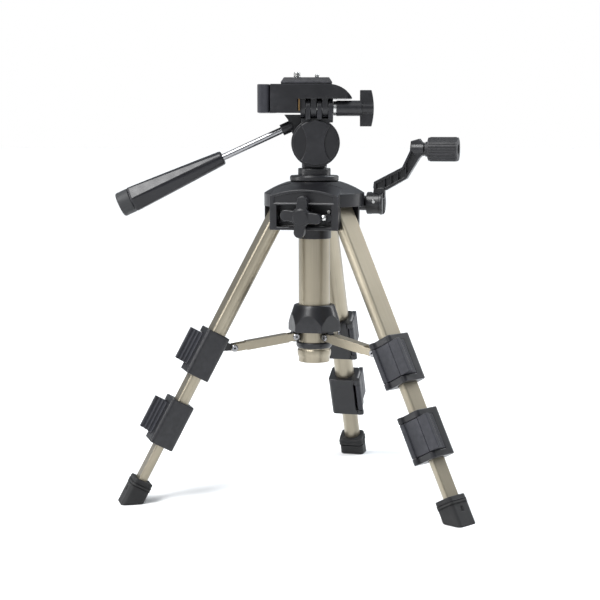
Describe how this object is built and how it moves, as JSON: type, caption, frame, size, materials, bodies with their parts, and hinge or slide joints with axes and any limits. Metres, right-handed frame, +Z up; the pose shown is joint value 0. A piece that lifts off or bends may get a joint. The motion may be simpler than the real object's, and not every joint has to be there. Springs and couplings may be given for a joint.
{
  "type": "mini camera tripod",
  "caption": "Small folding camera tripod with three telescopic legs, cranked centre column, pan and tilt head with long handle, and quick release plate.",
  "frame": {"origin": "on the floor under the centre column, feet soles in the plane z = 0", "axes": "+Z up along the centre column; +X to the side of the head away from the pan handle; +Y to the side of the head away from the flip hinge"},
  "size_m": [0.3077, 0.3012, 0.371],
  "materials": {
    "champagne_aluminium": "satin anodised",
    "black_plastic": "satin",
    "lever_plastic": "fine texture",
    "foot_rubber": "matte",
    "rivet_steel": "bright",
    "bright_steel": "turned",
    "rod_chrome": "polished",
    "grip_plastic": "gloss"
  },
  "bodies": {
    "stand": {"crown": "black_plastic", "leg_pivot_pins": "rivet_steel", "guide_tube": "champagne_aluminium", "tube_end_cap": "champagne_aluminium", "hub_stop_ring": "black_plastic"},
    "hub": {"hub": "black_plastic", "hub_rivets": "rivet_steel"},
    "column": {"centre_column": "champagne_aluminium", "gear_rack": "black_plastic", "pan_base": "black_plastic"},
    "lock_knob": {"column_lock_knob": "black_plastic"},
    "crank": {"crank_pinion": "bright_steel", "crank_hub": "black_plastic", "crank_fold_pin": "bright_steel"},
    "crank_arm": {"crank_arm": "black_plastic"},
    "crank_grip": {"crank_grip": "grip_plastic"},
    "pan_head": {"tilt_body": "black_plastic"},
    "tilt_head": {"tilt_yoke": "black_plastic", "tilt_covers": "black_plastic", "tilt_bolt": "bright_steel"},
    "handle": {"handle_rod": "rod_chrome", "handle_grip": "grip_plastic", "handle_cap": "lever_plastic"},
    "platform": {"platform": "black_plastic"},
    "flip_knob": {"flip_bolt": "bright_steel", "flip_knob": "black_plastic"},
    "catch": {"release_lever": "black_plastic"},
    "plate": {"quick_release_plate": "black_plastic"},
    "camera_screw": {"camera_screw": "bright_steel"},
    "locating_pin": {"locating_pin": "bright_steel"},
    "left_leg": {"left_upper_tube": "champagne_aluminium", "left_upper_clamp": "black_plastic"},
    "left_middle": {"left_middle_tube": "champagne_aluminium", "left_lower_clamp": "black_plastic"},
    "left_lower": {"left_lower_tube": "champagne_aluminium", "left_foot": "foot_rubber"},
    "left_upper_catch": {"left_upper_lever": "lever_plastic"},
    "left_lower_catch": {"left_lower_lever": "lever_plastic"},
    "left_brace": {"left_strut": "champagne_aluminium", "left_strut_rivets": "rivet_steel"},
    "right_leg": {"right_upper_tube": "champagne_aluminium", "right_upper_clamp": "black_plastic"},
    "right_middle": {"right_middle_tube": "champagne_aluminium", "right_lower_clamp": "black_plastic"},
    "right_lower": {"right_lower_tube": "champagne_aluminium", "right_foot": "foot_rubber"},
    "right_upper_catch": {"right_upper_lever": "lever_plastic"},
    "right_lower_catch": {"right_lower_lever": "lever_plastic"},
    "right_brace": {"right_strut": "champagne_aluminium", "right_strut_rivets": "rivet_steel"},
    "back_leg": {"back_upper_tube": "champagne_aluminium", "back_upper_clamp": "black_plastic"},
    "back_middle": {"back_middle_tube": "champagne_aluminium", "back_lower_clamp": "black_plastic"},
    "back_lower": {"back_lower_tube": "champagne_aluminium", "back_foot": "foot_rubber"},
    "back_upper_catch": {"back_upper_lever": "lever_plastic"},
    "back_lower_catch": {"back_lower_lever": "lever_plastic"},
    "back_brace": {"back_strut": "champagne_aluminium", "back_strut_rivets": "rivet_steel"}
  },
  "joints": [
    {"name": "left_leg_fold", "type": "hinge", "parent": "stand", "child": "left_leg", "pos_m": [-0.02961, -0.00849, 0.2508], "axis": [0.2756, -0.9613, 0], "range_deg": [0, 21.5]},
    {"name": "left_middle_slide", "type": "slide", "parent": "left_leg", "child": "left_middle", "axis": [-0.4557, -0.1307, -0.8805], "range_m": [-0.0215, 0.05]},
    {"name": "left_lower_slide", "type": "slide", "parent": "left_middle", "child": "left_lower", "axis": [-0.4557, -0.1307, -0.8805], "range_m": [-0.0315, 0.05]},
    {"name": "left_upper_lever", "type": "hinge", "parent": "left_leg", "child": "left_upper_catch", "pos_m": [-0.09165, -0.0113, 0.12341], "axis": [-0.4557, -0.1307, -0.8805], "range_deg": [0, 100]},
    {"name": "left_lower_lever", "type": "hinge", "parent": "left_middle", "child": "left_lower_catch", "pos_m": [-0.12227, -0.02008, 0.06425], "axis": [-0.4557, -0.1307, -0.8805], "range_deg": [0, 100]},
    {"name": "left_brace_turn", "type": "hinge", "parent": "hub", "child": "left_brace", "pos_m": [-0.01692, -0.00485, 0.14], "axis": [0.2756, -0.9613, 0], "range_deg": [0, 72.4]},
    {"name": "right_leg_fold", "type": "hinge", "parent": "stand", "child": "right_leg", "pos_m": [0.02216, -0.0214, 0.2508], "axis": [0.6947, 0.7193, 0], "range_deg": [0, 21.6]},
    {"name": "right_middle_slide", "type": "slide", "parent": "right_leg", "child": "right_middle", "axis": [0.341, -0.3293, -0.8805], "range_m": [-0.0215, 0.05]},
    {"name": "right_lower_slide", "type": "slide", "parent": "right_middle", "child": "right_lower", "axis": [0.341, -0.3293, -0.8805], "range_m": [-0.0315, 0.05]},
    {"name": "right_upper_lever", "type": "hinge", "parent": "right_leg", "child": "right_upper_catch", "pos_m": [0.05561, -0.07372, 0.12341], "axis": [0.341, -0.3293, -0.8805], "range_deg": [0, 100]},
    {"name": "right_lower_lever", "type": "hinge", "parent": "right_middle", "child": "right_lower_catch", "pos_m": [0.07853, -0.09585, 0.06425], "axis": [0.341, -0.3293, -0.8805], "range_deg": [0, 100]},
    {"name": "right_brace_turn", "type": "hinge", "parent": "hub", "child": "right_brace", "pos_m": [0.01266, -0.01223, 0.14], "axis": [0.6947, 0.7193, 0], "range_deg": [0, 72.4]},
    {"name": "back_leg_fold", "type": "hinge", "parent": "stand", "child": "back_leg", "pos_m": [0.00745, 0.02988, 0.2508], "axis": [-0.9703, 0.2419, 0], "range_deg": [0, 21.6]},
    {"name": "back_middle_slide", "type": "slide", "parent": "back_leg", "child": "back_middle", "axis": [0.1147, 0.46, -0.8805], "range_m": [-0.0215, 0.05]},
    {"name": "back_lower_slide", "type": "slide", "parent": "back_middle", "child": "back_lower", "axis": [0.1147, 0.46, -0.8805], "range_m": [-0.0315, 0.05]},
    {"name": "back_upper_lever", "type": "hinge", "parent": "back_leg", "child": "back_upper_catch", "pos_m": [0.03604, 0.08502, 0.12341], "axis": [0.1147, 0.46, -0.8805], "range_deg": [0, 100]},
    {"name": "back_lower_lever", "type": "hinge", "parent": "back_middle", "child": "back_lower_catch", "pos_m": [0.04375, 0.11593, 0.06425], "axis": [0.1147, 0.46, -0.8805], "range_deg": [0, 100]},
    {"name": "back_brace_turn", "type": "hinge", "parent": "hub", "child": "back_brace", "pos_m": [0.00426, 0.01708, 0.14], "axis": [-0.9703, 0.2419, 0], "range_deg": [0, 72.4]},
    {"name": "hub_slide", "type": "slide", "parent": "stand", "child": "hub", "axis": [0, 0, 1], "range_m": [0, 0.0404]},
    {"name": "column_lift", "type": "slide", "parent": "stand", "child": "column", "axis": [0, 0, 1], "range_m": [0, 0.08]},
    {"name": "crank_turn", "type": "hinge", "parent": "stand", "child": "crank", "pos_m": [0.00375, 0.01504, 0.2572], "axis": [-0.9703, 0.2419, 0], "range_deg": [0, 612]},
    {"name": "crank_fold", "type": "hinge", "parent": "crank", "child": "crank_arm", "pos_m": [0.05372, 0.00258, 0.2588], "axis": [0.2419, 0.9703, 0], "range_deg": [0, 70]},
    {"name": "crank_grip_spin", "type": "hinge", "parent": "crank_arm", "child": "crank_grip", "pos_m": [0.11145, -0.01181, 0.3045], "axis": [0.9703, -0.2419, 0], "continuous": true},
    {"name": "lock_knob_turn", "type": "hinge", "parent": "stand", "child": "lock_knob", "pos_m": [-0.01089, -0.04366, 0.2475], "axis": [-0.2419, -0.9703, 0], "range_deg": [0, 180]},
    {"name": "pan", "type": "hinge", "parent": "column", "child": "pan_head", "pos_m": [0, 0, 0.285], "axis": [0, 0, 1], "range_deg": [-120, 120]},
    {"name": "tilt", "type": "hinge", "parent": "pan_head", "child": "tilt_head", "pos_m": [0.001, 0, 0.31], "axis": [0, 1, 0], "range_deg": [-15, 40]},
    {"name": "handle_twist", "type": "hinge", "parent": "tilt_head", "child": "handle", "pos_m": [-0.0244, 0, 0.3227], "axis": [-0.9085, 0, -0.4179], "range_deg": [-90, 90]},
    {"name": "flip", "type": "hinge", "parent": "tilt_head", "child": "platform", "pos_m": [0, -0.012, 0.3397], "axis": [1, 0, 0], "range_deg": [0, 90]},
    {"name": "flip_knob_turn", "type": "hinge", "parent": "tilt_head", "child": "flip_knob", "pos_m": [0.03, -0.012, 0.3397], "axis": [1, 0, 0], "range_deg": [0, 180]},
    {"name": "release_lever_swing", "type": "hinge", "parent": "platform", "child": "catch", "pos_m": [-0.0462, 0.0188, 0.348], "axis": [0, 0, -1], "range_deg": [0, 40], "stiffness_Nm_per_rad": 0.05, "springref_deg": -20.05},
    {"name": "plate_lift", "type": "slide", "parent": "platform", "child": "plate", "axis": [0, 0, 1], "range_m": [0, 0.02]},
    {"name": "camera_screw_turn", "type": "hinge", "parent": "plate", "child": "camera_screw", "pos_m": [-0.0151, 0, 0.365], "axis": [0, 0, 1], "continuous": true},
    {"name": "locating_pin_press", "type": "slide", "parent": "plate", "child": "locating_pin", "axis": [0, 0, -1], "range_m": [0, 0.003], "stiffness_N_per_m": 300, "springref_m": -0.002}
  ],
  "couplings": [
    {"joint": "left_brace_turn", "follows": "left_leg_fold", "ratio": 3.3621},
    {"joint": "right_leg_fold", "follows": "left_leg_fold", "ratio": 1},
    {"joint": "right_brace_turn", "follows": "left_leg_fold", "ratio": 3.3621},
    {"joint": "back_leg_fold", "follows": "left_leg_fold", "ratio": 1},
    {"joint": "back_brace_turn", "follows": "left_leg_fold", "ratio": 3.3621},
    {"joint": "hub_slide", "follows": "left_leg_fold", "m_per_rad": 0.1074},
    {"joint": "crank_turn", "follows": "column_lift", "rad_per_m": 133.33}
  ]
}
